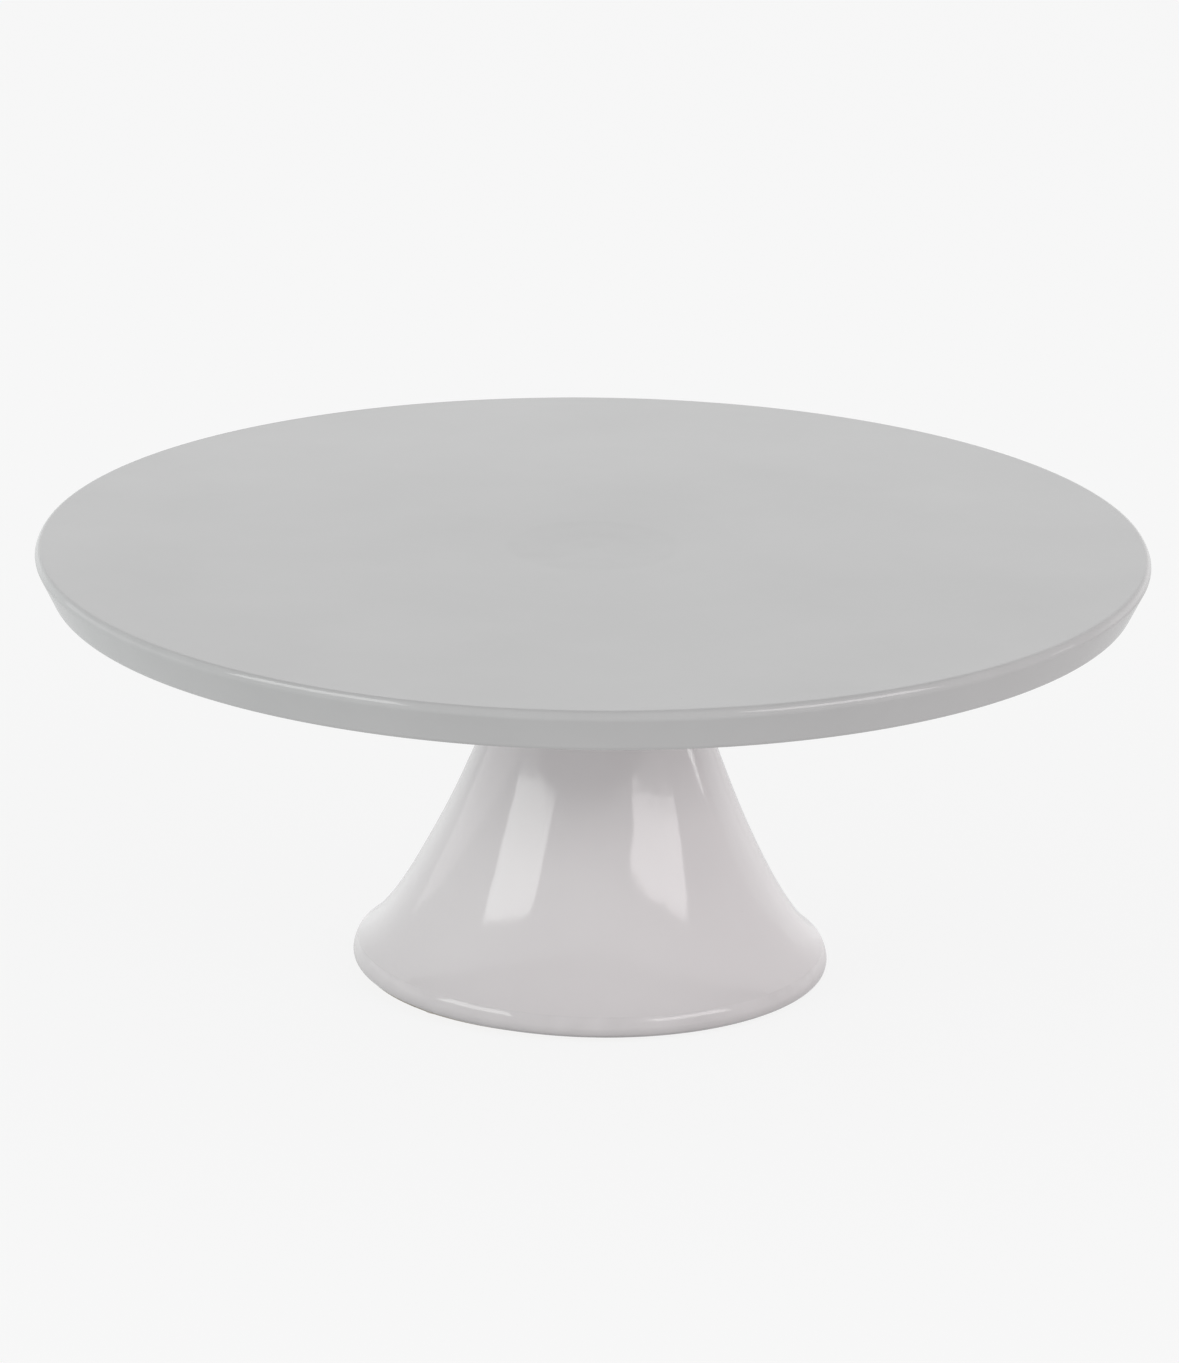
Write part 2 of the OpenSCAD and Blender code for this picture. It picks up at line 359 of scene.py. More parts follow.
def make_plate():
    """Round plate with a turned-down rim, a boss below, and a blind socket for the stud."""
    low, high = box_mm("plate")
    socket_top = box_mm("stud_plate")[1].z
    outer, top, boss_z = high.x, high.z, low.z
    under = top - PLATE_T
    rim_low = top - RIM_DEPTH
    low_outer = outer - RIM_TAPER
    inner = low_outer - RIM_WALL
    low_in, low_top = low_outer - RIM_LOW_R, rim_low + RIM_LOW_R
    fillet_in, fillet_low = inner - RIM_FILLET_R, under - RIM_FILLET_R
    side_angle = -math.degrees(math.atan2(RIM_TAPER, RIM_DEPTH - RIM_LOW_R))
    edge = rim_edge((outer, top), side_angle)
    dish_rings = 20
    dish = [DISH_R * i / dish_rings for i in range(dish_rings + 1)]

    outline = Outline()
    dished = [(r, top - DISH_DEPTH * (1 + math.cos(math.pi * r / DISH_R)) / 2) for r in dish]
    # Painted shade: the middle of the top face is a little darker.
    outline.add(dished[:9], thin_and_shade=(0.4, 0.3))
    outline.add(dished[8:])
    outline.add(line((DISH_R, top), (edge[0][0][0], top), 28, HOLD))
    # The glaze runs thin on the rim's top edge, and painted shade darkens that edge further.
    for piece, thin_and_shade in zip(edge, ((0.2, 0.5), (0.5, 0.4), (0.4, 0.3))):
        outline.add(piece, thin_and_shade=thin_and_shade, wave=(0.8, 0.8))
    low_edge = arc((low_in, low_top), RIM_LOW_R, side_angle, -90, 16)
    outline.add(line(edge[-1][-1], low_edge[0], 6, HOLD), thin_and_shade=(0.3, 0), wave=(0.7, 0.7))
    outline.add(low_edge, thin_and_shade=(0, 0.6), wave=(0.7, 0.4))
    outline.add(line((low_in, rim_low), (inner + RIM_INNER_R, rim_low), 2), thin_and_shade=(0.8, 0.8), wave=(0.4, 0.4))
    outline.add(arc((inner + RIM_INNER_R, rim_low + RIM_INNER_R), RIM_INNER_R, 270, 180, 8), thin_and_shade=(0.8, 0))
    outline.add(arc((fillet_in, fillet_low), RIM_FILLET_R, 0, 90))
    outline.add(line((fillet_in, under), (BOSS_R + BOSS_FILLET_R, under), 26, HOLD))
    outline.add(arc((BOSS_R + BOSS_FILLET_R, under - BOSS_FILLET_R), BOSS_FILLET_R, 90, 180), wave=(1, 0))
    boss_side = line((BOSS_R, under - BOSS_FILLET_R), (BOSS_R, boss_z + BOSS_EDGE_R), 2)
    outline.add(boss_side, bare=(0, 0.4), thin_and_shade=(0, 1), wave=(0, 0))
    boss_edge = arc((BOSS_R - BOSS_EDGE_R, boss_z + BOSS_EDGE_R), BOSS_EDGE_R, 0, -90, 6)
    outline.add(boss_edge, bare=(0.4, 1), wave=(0, 0))
    face = line((BOSS_R - BOSS_EDGE_R, boss_z), (SOCKET_R + SOCKET_EDGE_R, boss_z), 5)
    outline.add(face, bare=(1, 1), wave=(0, 0))
    corner = (SOCKET_R + SOCKET_EDGE_R, boss_z + SOCKET_EDGE_R)
    outline.add(arc(corner, SOCKET_EDGE_R, 270, 180, 5), bare=(1, 1), wave=(0, 0))
    outline.add([(SOCKET_R, socket_top), (0, socket_top)], bare=(1, 1), wave=(0, 0))
    return lathe("ceramic_plate", outline, PLATE_SEGMENTS, plate_swell)


# ---------------------------------------------------------------- pedestal

PEDESTAL_SEGMENTS = 256
# Arcs of the bead from its bottom to the flare: radius, and angle where it ends. Bare clay turns to
# glaze along the first one.
BEAD = ((1.6, -48.0), (1.6, -12.0), (4.2, 14.0), (9.5, 30.0), (0.9, 54.0))
FLARE_REACH = 20.7
NECK_R = 24.5
NECK_BELOW_SEAT = 15.5
NECK_REACH = 4.0
CROWN_R = 30.0
CROWN_H = 11.0
CROWN_T = 8.0
CROWN_EDGE_R = 1.0
LIP_INNER_R = 26.8
SEAT_EDGE_R = 0.4
BOLT_HOLE_R = 5.0
BOLT_CHAMFER = 0.6
CEILING_R = 2.5
BORE_NECK_R = 17.5
BORE_NECK_REACH = 16.0
BORE_FOOT_ANGLE = 15.0
BORE_FOOT_REACH = 8.0
FOOT_BORE_R = 51.0
FOOT_EDGE_R = 1.2
RECESS_CLEARANCE = 0.2


def make_pedestal():
    """Hollow flared pedestal with a bead round its foot and a seat in its crown."""
    low, high = box_mm("pedestal")
    seat = box_mm("seat_gasket")[0].z
    foot, lip = low.z, high.z
    bead = reach_out(arc_chain((0, foot + BEAD[0][0]), -90, BEAD), high.x)
    neck = (NECK_R, seat - NECK_BELOW_SEAT)
    under = seat - CROWN_T
    spread = CROWN_R - NECK_R
    crown_arc_r = (spread ** 2 + CROWN_H ** 2) / (2 * spread)
    crown_end = 180 - math.degrees(math.asin(CROWN_H / crown_arc_r))
    flare_low, flare_angle = bead[-1][-1], BEAD[-1][1]
    bore_high = (BORE_NECK_R, under - CEILING_R)
    bore_low = (FOOT_BORE_R, foot + FOOT_EDGE_R)

    outline = Outline()
    # Along the bead the glaze runs thin at its edges, and painted shade darkens its face and shoulder.
    outline.add(bead[0], (1, 0), (0, 0.7), (0, 0))
    for piece, thin_and_shade, wave in zip(bead[1:], ((0.7, 0.7), (0.7, 0.8), (0.8, 1), (1, 0)), (0, 0.2, 0.4, 0.5)):
        outline.add(piece, thin_and_shade=thin_and_shade, wave=(wave, wave + 0.1))
    flare = cubic(
        flare_low, shift(flare_low, inward(flare_angle, FLARE_REACH)),
        shift(neck, inward(0, -NECK_REACH)), neck, 64,
    )
    outline.add(flare, wave=(0.6, 1))
    outline.add(arc((NECK_R + crown_arc_r, neck[1]), crown_arc_r, 180, crown_end), wave=(1, 0))
    outline.add(line((CROWN_R, neck[1] + CROWN_H), (CROWN_R, lip - CROWN_EDGE_R), 3, HOLD), wave=(0, 0))
    crown_edge = arc((CROWN_R - CROWN_EDGE_R, lip - CROWN_EDGE_R), CROWN_EDGE_R, 0, 90, 8)
    outline.add(crown_edge, thin_and_shade=(0, 1), wave=(0, 0))
    for centre, start, bare in (
        ((LIP_INNER_R + SEAT_EDGE_R, lip - SEAT_EDGE_R), 90, (0, 0.4)),
        ((LIP_INNER_R - SEAT_EDGE_R, seat + SEAT_EDGE_R), 0, (0.6, 1)),
    ):
        end = start + 90 if start else -90
        outline.add(arc(centre, SEAT_EDGE_R, start, end, 5), bare=bare, wave=(0, 0))
    wide, narrow = BOLT_HOLE_R + BOLT_CHAMFER, BOLT_HOLE_R
    hole = [(narrow, seat - BOLT_CHAMFER), (narrow, under + BOLT_CHAMFER), (wide, under)]
    seat_floor = line((LIP_INNER_R - SEAT_EDGE_R, seat), (wide, seat), 5)
    outline.add(seat_floor + hole, bare=(1, 1), wave=(0, 0))
    ceiling = line((wide + 0.3, under), (bore_high[0] - CEILING_R, under), 3)
    outline.add(ceiling, bare=(1, 0), wave=(0, 0))
    outline.add(arc(shift(bore_high, (-CEILING_R, 0)), CEILING_R, 90, 0), wave=(0, 0.3))
    bore = cubic(
        bore_high, shift(bore_high, (0, -BORE_NECK_REACH)),
        shift(bore_low, inward(BORE_FOOT_ANGLE, BORE_FOOT_REACH)), bore_low, 56,
    )
    outline.add(bore, wave=(0.5, 0.5))
    outline.add(arc(shift(bore_low, (FOOT_EDGE_R, 0)), FOOT_EDGE_R, 180, 270, 8), (0, 1), (1, 1), (0, 0))
    foot_ring = line((FOOT_BORE_R + FOOT_EDGE_R, foot), (bead[0][0][0], foot), 8)
    outline.add(foot_ring, bare=(1, 1), wave=(0, 0))
    pedestal = lathe("ceramic_pedestal", outline, PEDESTAL_SEGMENTS, pedestal_swell, pedestal_warp)

    recess_top = box_mm("foot_pad_1")[1].z
    pads = [pad_place(node) for node in pad_nodes()]
    radius = pads[0][2] + RECESS_CLEARANCE
    return drill(pedestal, [(x, y) for x, y, r in pads], radius, foot - 1, recess_top)


def pad_nodes():
    """The names of the foot pads' nodes."""
    return sorted(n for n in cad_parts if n.startswith("foot_pad_"))


def pad_place(node):
    """Centre and radius of a foot pad, in millimetres."""
    low, high = box_mm(node)
    return (low.x + high.x) / 2, (low.y + high.y) / 2, (high.x - low.x) / 2


# ---------------------------------------------------------------- fastening

WASHER_BORE_R = 4.2
PITCH = 1.25
THREAD_MAJOR_R = 4.0
THREAD_MINOR_R = 3.235
CREST_SHARE = 1 / 8
ROOT_SHARE = 1 / 4
STUD_CHAMFER = 1.0
HEAD_T = 3.0
HEAD_EDGE_R = 0.3
THREAD_STOPS_BELOW_HEAD = 3.0
KEY_HOLE_R = 2.0
KEY_RING_R = 7.5
KEY_HOLES = 4


def thread_radius(angle, z):
    """Radius of a right-handed metric thread at an angle and a height."""
    phase = (z / PITCH - angle / math.tau) % 1
    away = abs(2 * phase - 1)
    depth = (away - CREST_SHARE) / (1 - ROOT_SHARE - CREST_SHARE)
    return THREAD_MAJOR_R - (THREAD_MAJOR_R - THREAD_MINOR_R) * min(max(depth, 0), 1)


def make_stud():
    """Threaded stud on a disc that has holes to key it into the resin."""
    low, high = box_mm("stud_plate")
    head_z = high.z - HEAD_T
    run_out = head_z - THREAD_STOPS_BELOW_HEAD
    segments = 48
    rows = int((head_z - low.z) / PITCH * 12)
    rings = [[((0, 0, low.z), ())]]
    for i in range(rows + 1):
        z = low.z + (head_z - low.z) * i / rows
        plain = min(max((z - run_out) / PITCH, 0), 1)
        ring = []
        for k in range(segments):
            a = math.tau * k / segments
            r = thread_radius(a, z - low.z)
            r += (THREAD_MAJOR_R - r) * plain
            r = min(r, THREAD_MAJOR_R - STUD_CHAMFER + z - low.z)
            ring.append(((r * math.cos(a), r * math.sin(a), z), ()))
        rings.append(ring)
    edge = HEAD_EDGE_R
    rim = arc((high.x - edge, head_z + edge), edge, -90, 0, 4)
    rim += arc((high.x - edge, high.z - edge), edge, 0, 90, 4)
    for r, z in rim:
        angles = [math.tau * k / segments for k in range(segments)]
        rings.append([((r * math.cos(a), r * math.sin(a), z), ()) for a in angles])
    rings.append([((0, 0, high.z), ())])
    stud = skin("threaded_stud", rings, False)
    spots = [math.tau * (i + 1) / KEY_HOLES for i in range(KEY_HOLES)]
    centres = [(KEY_RING_R * math.cos(a), KEY_RING_R * math.sin(a)) for a in spots]
    return drill(stud, centres, KEY_HOLE_R, head_z - 1, high.z + 1, 32, turn=3.0)


NUT_FLATS = 13.0
NUT_BORE_R = 4.1
NUT_FACE_R = 0.95 * NUT_FLATS / 2
NUT_CONE = math.tan(math.radians(30))
COUNTERSINK = 0.45


def make_nut():
    """Hexagon nut, turned to a cone at both faces, with a countersunk bore."""
    low, high = box_mm("hex_nut")
    segments = 96
    rings = [[] for _ in range(8)]
    for k in range(segments):
        a = math.tau * k / segments
        side = NUT_FLATS / 2 / math.cos(math.radians(math.degrees(a) % 60 - 30))
        drop = (side - NUT_FACE_R) * NUT_CONE
        wide = NUT_BORE_R + COUNTERSINK
        rows = (
            (NUT_BORE_R, low.z + COUNTERSINK), (wide, low.z), (NUT_FACE_R, low.z), (side, low.z + drop),
            (side, high.z - drop), (NUT_FACE_R, high.z), (wide, high.z), (NUT_BORE_R, high.z - COUNTERSINK),
        )
        for ring, (r, z) in zip(rings, rows):
            ring.append(((r * math.cos(a), r * math.sin(a), z), ()))
    nut = skin("hexagon_nut", rings, True)
    return round_edges(nut, 0.12, 24)


SLIT = 1.2
SLIT_ANGLE = math.radians(25)


def make_spring_washer():
    """Split spring washer with a slanted cut, squeezed flat by the nut."""
    low, high = box_mm("spring_washer")
    outer = high.x
    bore = WASHER_BORE_R
    middle = (low.z + high.z) / 2
    outline = ring_outline(bore, outer, low.z, high.z, 0.2, 3).closed_points()
    half = SLIT / 2 / math.cos(SLIT_ANGLE)
    steps = 120
    rings = []
    for r, z, *_ in outline:
        lean = (z - middle) * math.tan(SLIT_ANGLE)
        start = math.asin((half - lean) / r)
        end = math.tau + math.asin((-half - lean) / r)
        rings.append([start + (end - start) * i / steps for i in range(steps + 1)])
    bm = bmesh.new()
    grid = []
    for (r, z, *_), angles in zip(outline, rings):
        grid.append([bm.verts.new(Vector((r * math.cos(a), r * math.sin(a), z)) * MM) for a in angles])
    for row, after in zip(grid, grid[1:] + grid[:1]):
        for i in range(steps):
            bm.faces.new((row[i], row[i + 1], after[i + 1], after[i]))
    bm.faces.new([row[0] for row in grid])
    bm.faces.new([row[-1] for row in reversed(grid)])
    bmesh.ops.recalc_face_normals(bm, faces=bm.faces)
    return link_mesh("split_spring_washer", bm, 50)


def make_ring(name, node, inner, edge, segments=128):
    """A flat ring with rounded edges that fills a CAD node's box."""
    low, high = box_mm(node)
    return lathe(name, ring_outline(inner, high.x, low.z, high.z, edge), segments)


def make_pad(number, node):
    """Round silicone foot pad with a slightly hollow underside, in the place of its CAD node."""
    low, high = box_mm(node)
    x, y, r = pad_place(node)
    edge = 0.4
    hollow = 0.12
    outline = Outline()
    outline.add([(0, low.z + hollow), (r * 0.35, low.z + hollow * 0.9), (r * 0.6, low.z + hollow * 0.3)])
    outline.add(line((r * 0.72, low.z), (r - edge, low.z), 2))
    outline.add(arc((r - edge, low.z + edge), edge, -90, 0, 8))
    outline.add([(r, high.z - 0.15), (r - 0.15, high.z), (0, high.z)])
    pad = lathe(f"silicone_pad_{number}", outline, 64)
    pad.data.transform(Matrix.Translation((x * MM, y * MM, 0)))
    return pad


# ---------------------------------------------------------------- materials

class Nodes:
    """Short calls that add nodes to a node tree. Lengths are given in millimetres."""

    def __init__(self, tree, place):
        self.tree = tree
        self.place = self.node("ShaderNodeTexCoord").outputs[place]

    def node(self, kind, inputs=None, **settings):
        """A new node, with values or links on its inputs."""
        node = self.tree.nodes.new(kind)
        for key, value in settings.items():
            setattr(node, key, value)
        for key, value in (inputs or {}).items():
            if isinstance(value, bpy.types.NodeSocket):
                self.tree.links.new(value, node.inputs[key])
            else:
                node.inputs[key].default_value = value
        return node

    def noise(self, size, detail=2.0, place=None):
        """Noise from 0 to 1 whose patches are about size across."""
        inputs = {"Vector": place or self.place, "Scale": 1 / (size * MM), "Detail": detail}
        return self.node("ShaderNodeTexNoise", inputs).outputs[0]

    def math(self, operation, a, b=0.0):
        """Arithmetic on two values."""
        return self.node("ShaderNodeMath", {0: a, 1: b}, operation=operation).outputs[0]

    def remap(self, value, low, high, to_low=0.0, to_high=1.0, smooth=False):
        """Maps a range of a value onto another range, held at its ends."""
        kind = "SMOOTHSTEP" if smooth else "LINEAR"
        inputs = {"Value": value, "From Min": low, "From Max": high, "To Min": to_low, "To Max": to_high}
        return self.node("ShaderNodeMapRange", inputs, interpolation_type=kind).outputs[0]

    def mix(self, share, a, b):
        """A colour between a and b."""
        inputs = {0: share}
        for key, value in ((6, a), (7, b)):
            inputs[key] = value if isinstance(value, bpy.types.NodeSocket) else (*value, 1)
        return self.node("ShaderNodeMix", inputs, data_type="RGBA").outputs[2]

    def blend(self, share, a, b):
        """A number between a and b."""
        return self.node("ShaderNodeMix", {0: share, 2: a, 3: b}, data_type="FLOAT").outputs[0]

    def part(self, letter):
        """The X, Y or Z of the place."""
        return self.node("ShaderNodeSeparateXYZ", {0: self.place}).outputs[letter]

    def scaled(self, x, y, z, turn=0.0):
        """The place turned about Z, in degrees, and then stretched."""
        rotation = (0, 0, math.radians(turn))
        turned = self.node("ShaderNodeMapping", {"Vector": self.place, "Rotation": rotation}).outputs[0]
        return self.node("ShaderNodeMapping", {"Vector": turned, "Scale": (x, y, z)}).outputs[0]

    def spots(self, spacing, radius, share):
        """Soft round spots on a given share of a grid of jittered points, from 0 to 1."""
        cells = self.node("ShaderNodeTexVoronoi", {"Vector": self.place, "Scale": 1 / (spacing * MM)})
        chosen = self.node("ShaderNodeSeparateColor", {0: cells.outputs["Color"]}).outputs[0]
        edge = radius / spacing
        near = self.remap(cells.outputs["Distance"], edge * 0.5, edge, 1, 0, smooth=True)
        return self.math("MULTIPLY", near, self.math("LESS_THAN", chosen, share))


class Material(Nodes):
    """A Principled material whose detail comes from noise in object coordinates."""

    def __init__(self, name, **sockets):
        self.material = bpy.data.materials.new(name)
        self.material.use_nodes = True
        super().__init__(self.material.node_tree, "Object")
        self.shader = self.tree.nodes["Principled BSDF"]
        self.normal = None
        for key, value in sockets.items():
            self.shader.inputs[key.replace("_", " ")].default_value = value

    def set(self, socket, value):
        """Links a value to one of the shader's sockets."""
        self.tree.links.new(value, self.shader.inputs[socket])

    def attribute(self, name):
        """A value that the mesh holds at its corners."""
        return self.node("ShaderNodeAttribute", attribute_name=name).outputs["Fac"]

    def bump(self, height, depth):
        """Adds relief of a depth in millimetres to the surface."""
        inputs = {"Height": height, "Distance": depth * MM, "Strength": 1.0}
        if self.normal:
            inputs["Normal"] = self.normal
        self.normal = self.node("ShaderNodeBump", inputs).outputs[0]
        self.set("Normal", self.normal)


# Two tones each, which vary at random. The plate's glaze is a darker copy of the pedestal's white glaze:
# painted shade on the plate.
PLATE_GLAZE_PAINTED_SHADE = ((0.507, 0.503, 0.504), (0.532, 0.528, 0.529))
PEDESTAL_GLAZE = ((0.755, 0.722, 0.730), (0.780, 0.749, 0.756))
# How dark the glaze turns where it runs thin on edges and where painted shade is laid on.
GLAZE_THIN_AND_SHADE = 0.87
# Depth below the plate's top over which the faint scratches set in.
SCRATCH_DEPTH = (0.7, 0.4)
CLAY_COLOUR = (0.560, 0.500, 0.430)
CLAY_PALE = (0.640, 0.590, 0.520)
SPECK_COLOUR = (0.300, 0.240, 0.180)


def glaze_material(name, tones, ripple):
    """Glossy, rippled glaze over buff stoneware, which shows where the piece is unglazed."""
    m = Material(name, IOR=1.5)
    glazed = m.mix(m.remap(m.noise(45, 3), 0.3, 0.7), *tones)
    # Darker where the glaze runs thin, and painted shade on the bead's face, the rim's top edge and the
    # plate's middle.
    thin_and_shade = m.math("MULTIPLY", m.attribute("thin_and_shade"), m.remap(m.noise(9, 3), 0.3, 0.7, 0.25, 0.8))
    glazed = m.mix(thin_and_shade, glazed, tuple(GLAZE_THIN_AND_SHADE * c for c in tones[0]))
    glazed = m.mix(m.math("MULTIPLY", m.spots(19, 0.28, 0.3), 0.25), glazed, SPECK_COLOUR)

    clay = m.mix(m.remap(m.noise(1.2, 4), 0.35, 0.65), CLAY_COLOUR, CLAY_PALE)
    clay = m.mix(m.math("MULTIPLY", m.spots(3.5, 0.25, 0.5), 0.7), clay, SPECK_COLOUR)
    wander = m.remap(m.noise(4, 2), 0, 1, -0.3, 0.3)
    bare = m.remap(m.math("ADD", m.attribute("bare"), wander), 0.45, 0.55, smooth=True)
    m.set("Base Color", m.mix(bare, glazed, clay))

    gloss = m.remap(m.noise(28, 4), 0.3, 0.7, 0.055, 0.095)
    top = box_mm("plate")[1].z
    on_top = m.remap(m.part("Z"), *((top - depth) * MM for depth in SCRATCH_DEPTH))
    for turn, size in ((12, 21), (67, 17), (131, 24)):
        marks = m.remap(m.noise(size, 1, m.scaled(1, 60, 1, turn)), 0.70, 0.74, 0, 0.05)
        gloss = m.math("ADD", gloss, m.math("MULTIPLY", marks, on_top))
    m.set("Roughness", m.blend(bare, gloss, m.remap(m.noise(2, 3), 0.3, 0.7, 0.78, 0.92)))

    glazed_only = m.math("SUBTRACT", 1.0, bare)
    pinholes = m.spots(13, 0.2, 0.25)
    for height, depth in ((m.noise(5.5, 1), ripple), (m.noise(1.6, 1), 0.0012), (pinholes, -0.05)):
        m.bump(m.math("MULTIPLY", height, glazed_only), depth)
    m.bump(m.math("MULTIPLY", m.noise(0.5, 4), bare), 0.08)
    m.bump(bare, -0.12)
    return m.material


def steel_material():
    """Zinc-plated steel with turning marks, a faint passivated tint and dulled patches."""
    m = Material("zinc_plated_steel", Metallic=1.0)
    tint = m.mix(m.remap(m.noise(3.5, 3), 0.3, 0.7), (0.60, 0.62, 0.65), (0.66, 0.65, 0.60))
    dull = m.remap(m.noise(1.1, 4), 0.45, 0.7)
    m.set("Base Color", m.mix(m.math("MULTIPLY", dull, 0.5), tint, (0.47, 0.47, 0.46)))
    m.set("Roughness", m.remap(m.noise(1.6, 4), 0.3, 0.7, 0.24, 0.42))
    radius = m.node("ShaderNodeVectorMath", {0: m.scaled(1, 1, 0)}, operation="LENGTH").outputs["Value"]
    rows = m.node("ShaderNodeCombineXYZ", {0: radius, 2: m.math("MULTIPLY", m.part("Z"), 0.2)}).outputs[0]
    m.bump(m.noise(0.16, 2, rows), 0.006)
    m.bump(m.noise(0.35, 3), 0.006)
    return m.material


def rubber_material():
    """Black rubber with a faint grain and a grey bloom."""
    m = Material("black_rubber")
    bloom = m.remap(m.noise(4, 4), 0.45, 0.75)
    m.set("Base Color", m.mix(bloom, (0.024, 0.024, 0.026), (0.055, 0.055, 0.056)))
    m.set("Roughness", m.remap(m.noise(2, 3), 0.3, 0.7, 0.55, 0.75))
    m.bump(m.noise(0.4, 3), 0.02)
    return m.material


def silicone_material():
    """Milky silicone, matt, with dust where it is handled."""
    m = Material("milky_silicone", IOR=1.41, Subsurface_Weight=0.2, Subsurface_Scale=0.002)
    dust = m.remap(m.noise(1.4, 4), 0.45, 0.8)
    m.set("Base Color", m.mix(dust, (0.78, 0.78, 0.75), (0.62, 0.60, 0.56)))
    m.set("Roughness", m.remap(m.noise(1, 3), 0.3, 0.7, 0.38, 0.6))
    m.bump(m.noise(0.5, 2), 0.01)
    return m.material


def resin_material():
    """Cast epoxy, slightly yellow, with small bubbles at its face."""
    m = Material("cast_epoxy", IOR=1.55)
    m.set("Base Color", m.mix(m.remap(m.noise(6, 3), 0.3, 0.7), (0.60, 0.55, 0.44), (0.52, 0.45, 0.32)))
    m.set("Roughness", m.remap(m.noise(3, 3), 0.3, 0.7, 0.14, 0.3))
    m.bump(m.spots(1.6, 0.35, 0.4), -0.08)
    m.bump(m.noise(4, 1), 0.03)
    return m.material


# ---------------------------------------------------------------- floor, lights and camera

BACKDROP = 0.92
FLOOR_GLOW = 0.84
FLOOR_COLOUR = 0.12
TABLE_LIGHT_LEFT = 0.76
TABLE_LIGHT_RIGHT = 0.60
SHADE_LIGHT = 0.22
SHADE_INNER = 0.062
SHADE_REACH = 0.20
# The room's heights, as the upward part of the direction, where one light blends into the next.
TABLE_TO_WALL = (-0.35, 0)
WALL_TO_CEILING = (0.55, 0.85)
FRONT_LIGHT = 0.93
BACK_LIGHT = 0.97
# A glow low behind the stand, and the parts of the direction, backward and upward, that bound it.
BACK_GLOW = 0.20
GLOW_SETS_IN = (0.7, 0.9)
GLOW_FADES = (0.24, 0.32)
CEILING_LIGHT = 0.42
LEFT_TINT = (0.965, 1.0, 0.996)
RIGHT_TINT = (1.015, 0.990, 0.995)


def make_floor():
    """A plain pale floor for the camera alone. It can be looked through from below."""
    bm = bmesh.new()
    bmesh.ops.create_grid(bm, x_segments=8, y_segments=8, size=30)
    floor = link_mesh("floor", bm, 35)
    m = Material("pale_floor", Roughness=1.0, Emission_Strength=1.0)
    m.shader.inputs["Specular IOR Level"].default_value = 0.0
    m.shader.inputs["Base Color"].default_value = (*[FLOOR_COLOUR] * 3, 1)
    m.shader.inputs["Emission Color"].default_value = (*[FLOOR_GLOW] * 3, 1)
    clear = m.node("ShaderNodeBsdfTransparent").outputs[0]
    below = m.node("ShaderNodeNewGeometry").outputs["Backfacing"]
    seen = m.node("ShaderNodeMixShader", {0: below, 1: m.shader.outputs[0], 2: clear}).outputs[0]
    m.tree.links.new(seen, m.tree.nodes["Material Output"].inputs["Surface"])
    floor.data.materials.append(m.material)
    # The table's light on the stand comes from the lower half of the room instead
    floor.visible_diffuse = floor.visible_glossy = floor.visible_shadow = False


def make_room():
    """Soft light from all round, and a plain backdrop for the camera alone."""
    world = bpy.data.worlds.new("room")
    world.use_nodes = True
    n = Nodes(world.node_tree, "Generated")
    up = n.part("Z")
    table = n.remap(n.part("X"), -1, 1, TABLE_LIGHT_LEFT, TABLE_LIGHT_RIGHT)
    walls = n.remap(n.part("Y"), -1, 1, FRONT_LIGHT, BACK_LIGHT)
    glow = n.remap(up, *GLOW_FADES, BACK_GLOW, 0)
    behind = n.math("MULTIPLY", n.remap(n.part("Y"), *GLOW_SETS_IN), glow)
    light = n.blend(n.remap(up, *TABLE_TO_WALL, smooth=True), table, n.math("ADD", walls, behind))
    light = n.blend(n.remap(up, *WALL_TO_CEILING, smooth=True), light, CEILING_LIGHT)
    tint = n.mix(n.remap(n.part("X"), -1, 1), LEFT_TINT, RIGHT_TINT)
    room = n.node("ShaderNodeBackground", {"Color": tint, "Strength": light}).outputs[0]
    backdrop = n.node("ShaderNodeBackground", {"Color": (*[BACKDROP] * 3, 1)}).outputs[0]
    seen = n.node("ShaderNodeLightPath").outputs["Is Camera Ray"]
    surface = n.node("ShaderNodeMixShader", {0: seen, 1: room, 2: backdrop}).outputs[0]
    n.tree.links.new(surface, n.tree.nodes["World Output"].inputs["Surface"])
    bpy.context.scene.world = world


def glowing(name):
    """A material that only gives light, and its emission node."""
    material = bpy.data.materials.new(name)
    material.use_nodes = True
    tree = material.node_tree
    tree.nodes.remove(tree.nodes["Principled BSDF"])
    glow = tree.nodes.new("ShaderNodeEmission")
    tree.links.new(glow.outputs[0], tree.nodes["Material Output"].inputs["Surface"])
    return material, glow


def make_table_shade():
    """The stand's own soft shade on the table round its foot. Only the stand sees it."""
    inner, outer = SHADE_INNER / MM, SHADE_REACH / MM
    top, bottom = -0.5, -1
    outline = Outline()
    outline.add([(inner, top), (outer, top), (outer, bottom), (inner, bottom)])
    shade = lathe("table_shade", outline)
    material, glow = glowing("table_shade")
    n = Nodes(material.node_tree, "Object")
    away = n.node("ShaderNodeVectorMath", {0: n.place}, operation="LENGTH").outputs["Value"]
    shaded = n.remap(away, SHADE_INNER, SHADE_REACH, SHADE_LIGHT, TABLE_LIGHT_RIGHT)
    n.tree.links.new(shaded, glow.inputs["Strength"])
    shade.data.materials.append(material)
    shade.visible_camera = shade.visible_glossy = shade.visible_shadow = False


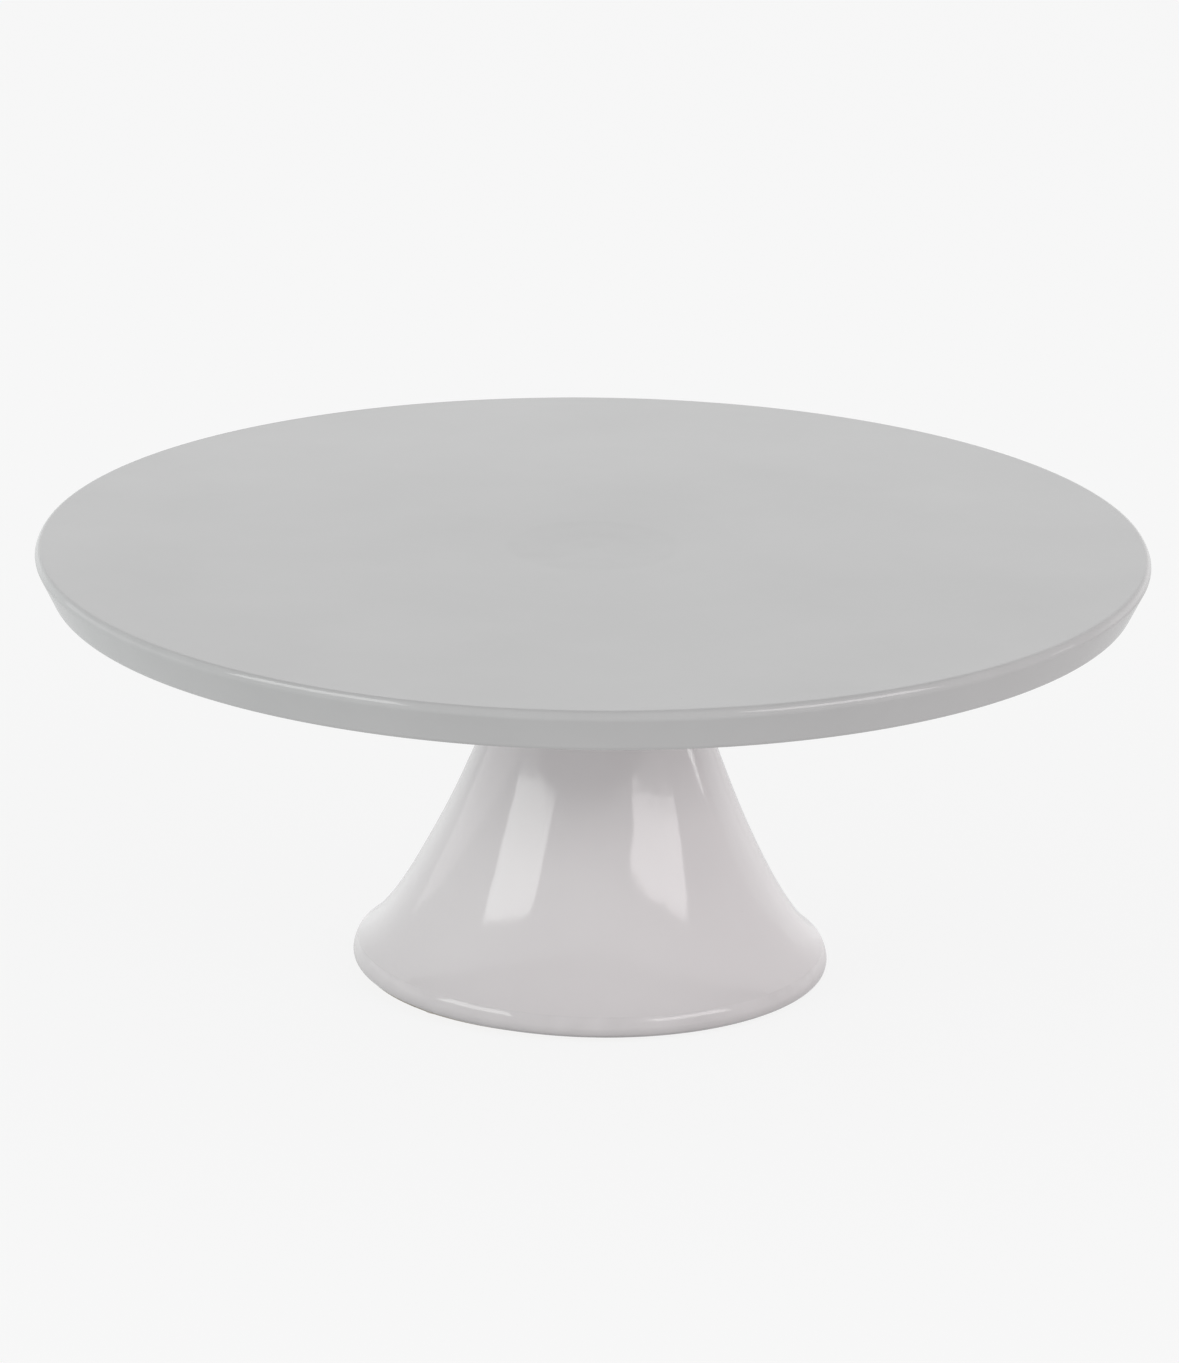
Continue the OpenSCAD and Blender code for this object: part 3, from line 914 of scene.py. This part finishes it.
def softbox(name, corners, distance, radiance, tint):
    """A four-sided panel of light. A corner is its azimuth, 0 in front and 90 right, and elevation."""
    bm = bmesh.new()
    verts = []
    for azimuth, elevation in corners:
        a, e = math.radians(azimuth), math.radians(elevation)
        towards = Vector((math.sin(a) * math.cos(e), -math.cos(a) * math.cos(e), math.sin(e)))
        verts.append(bm.verts.new(Vector((0, 0, AIM_Z)) + towards * distance))
    bm.faces.new(verts)
    panel = link_mesh(name, bm, 35)
    material, glow = glowing(name)
    glow.inputs["Color"].default_value = (*tint, 1)
    glow.inputs["Strength"].default_value = radiance
    panel.data.materials.append(material)
    panel.visible_camera = panel.visible_shadow = False


AIM_Z = 0.045
# Panels of light: name, corners, distance, radiance and tint.
PANELS = (
    ("left_softbox", ((-78, 16.8), (-36, 21.4), (-42, 32.0), (-74, 28.2)), 2.5, 4.4, (0.98, 1.0, 0.985)),
    ("right_softbox", ((35, 21.0), (74, 15.6), (67, 27.0), (29, 28.0)), 2.5, 4.5, (1.0, 0.97, 0.975)),
    ("side_light", ((101, 6.2), (108, 5.8), (108, 6.9), (101, 7.3)), 1.5, 5.0, (1, 1, 1)),
    ("left_screen", ((-130, 1.0), (-84, 5.0), (-84, 14.0), (-130, 10.0)), 2.6, 1.45, (1, 1, 1)),
    ("right_screen", ((118, -4.0), (150, -4.0), (150, 7.0), (118, 7.0)), 2.6, 1.2, (1, 1, 1)),
)
CAMERA_PLACE = (0.0, -2.400, 0.82556)
CAMERA_PITCH = -17.245
CAMERA_YAW = 0.013
CAMERA_ROLL = 0.737
CAMERA_LENS = 245.55
CAMERA_SENSOR = 36.0


def make_camera():
    """A long lens in front of the stand that looks down on the plate, with a slight roll."""
    data = bpy.data.cameras.new("camera")
    data.lens = CAMERA_LENS
    data.sensor_width = CAMERA_SENSOR
    camera = bpy.data.objects.new("camera", data)
    turn = Matrix.Rotation(math.radians(CAMERA_YAW), 4, "Z")
    tip = Matrix.Rotation(math.radians(90 + CAMERA_PITCH), 4, "X")
    roll = Matrix.Rotation(math.radians(CAMERA_ROLL), 4, "Z")
    camera.matrix_world = Matrix.Translation(CAMERA_PLACE) @ turn @ tip @ roll
    bpy.context.scene.collection.objects.link(camera)
    bpy.context.scene.camera = camera


make_camera()
make_floor()
make_room()
make_table_shade()
for panel in PANELS:
    softbox(*panel)
bpy.context.scene.view_settings.view_transform = "Standard"

# ---------------------------------------------------------------- the stand

# Painted shade: the plate takes a darker copy of the white glaze.
plate_glaze_painted_shade = glaze_material("white_glaze_painted_shade", PLATE_GLAZE_PAINTED_SHADE, 0.016)
pedestal_glaze = glaze_material("off_white_glaze", PEDESTAL_GLAZE, 0.035)
steel = steel_material()
rubber = rubber_material()
silicone = silicone_material()
resin = resin_material()

install(make_plate(), "plate", plate_glaze_painted_shade)
install(make_pedestal(), "pedestal", pedestal_glaze)
seat = make_ring("silicone_seat", "seat_gasket", SOCKET_R + GASKET_CLEARANCE, edge=0.35)
install(seat, "seat_gasket", silicone)
install(make_stud(), "stud_plate", steel)
rubber_washer = make_ring("washer_rubber", "rubber_washer", WASHER_BORE_R, edge=0.4)
install(rubber_washer, "rubber_washer", rubber)
flat_washer = make_ring("washer_wide", "flat_washer", WASHER_BORE_R, edge=0.3)
install(flat_washer, "flat_washer", steel)
install(make_spring_washer(), "spring_washer", steel)
install(make_nut(), "hex_nut", steel)
for number, node in enumerate(pad_nodes(), 1):
    install(make_pad(number, node), node, silicone)

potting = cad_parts["stud_potting"]
for material_slot in potting.material_slots:
    material_slot.material = resin
